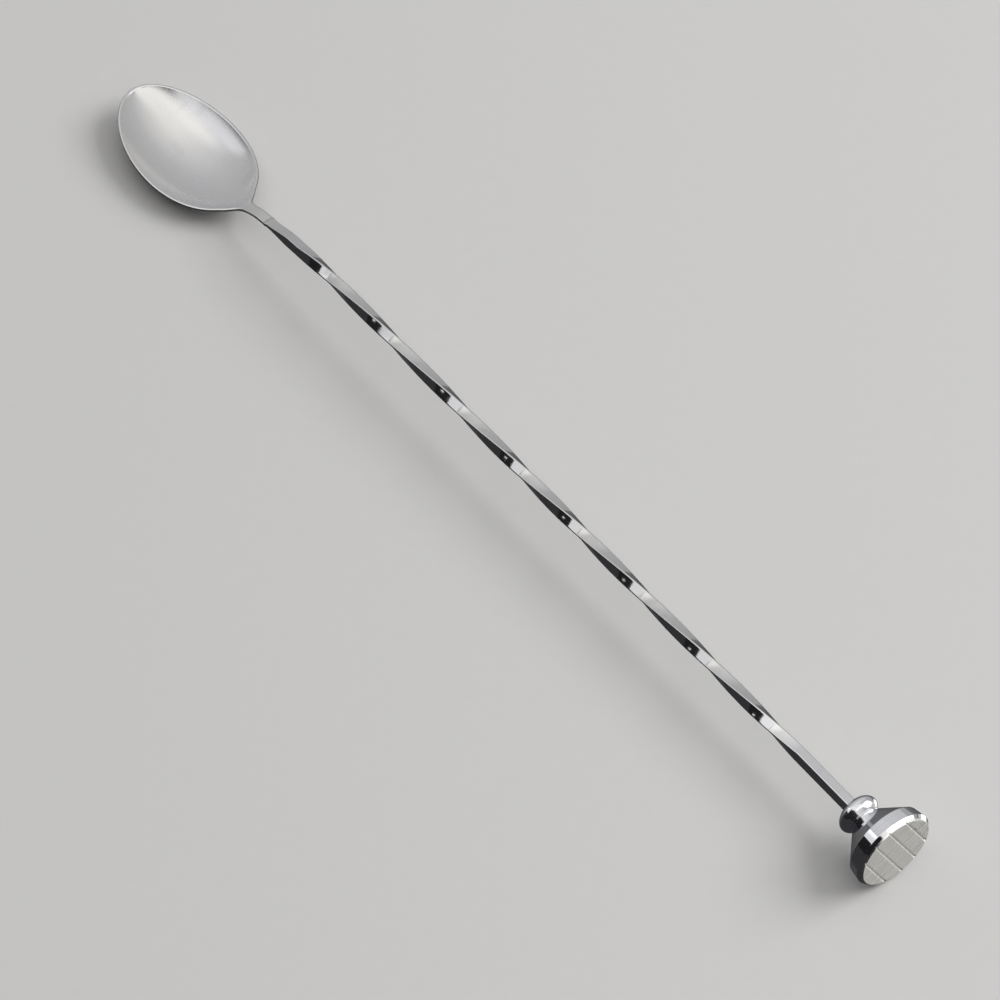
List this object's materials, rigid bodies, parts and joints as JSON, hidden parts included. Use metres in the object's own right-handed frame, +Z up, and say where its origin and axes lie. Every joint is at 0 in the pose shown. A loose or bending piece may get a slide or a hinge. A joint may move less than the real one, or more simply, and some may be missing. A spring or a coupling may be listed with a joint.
{
  "type": "bar spoon",
  "caption": "Long twisted-stem bar spoon with a small oval bowl at one end and a round waffle-faced muddler head behind a bead at the other.",
  "frame": {"origin": "on the table under the middle of the whole spoon, as it lies on its bowl and the edge of its head", "axes": "+X along the stem towards the muddler's face, +Z up out of the hollow of the bowl, the stem falls towards the head by 0.68 degrees"},
  "size_m": [0.3052, 0.0288, 0.0217],
  "materials": {
    "satin_steel": "pearl-satin polished stainless sheet",
    "weld_steel": "ground weld, slightly warm and duller than the steel beside it",
    "polished_steel": "bright-drawn and polished stainless square bar, faint draw lines",
    "chrome": "mirror polished turned steel",
    "head_steel": "polished rim and flare, straight-brushed waffle face"
  },
  "bodies": {
    "root": {"spoon_bowl": "satin_steel", "neck_weld": "weld_steel", "twisted_bar": "polished_steel", "lock_bead": "chrome", "neck_collar": "chrome", "muddler_head": "head_steel"}
  },
  "joints": []
}
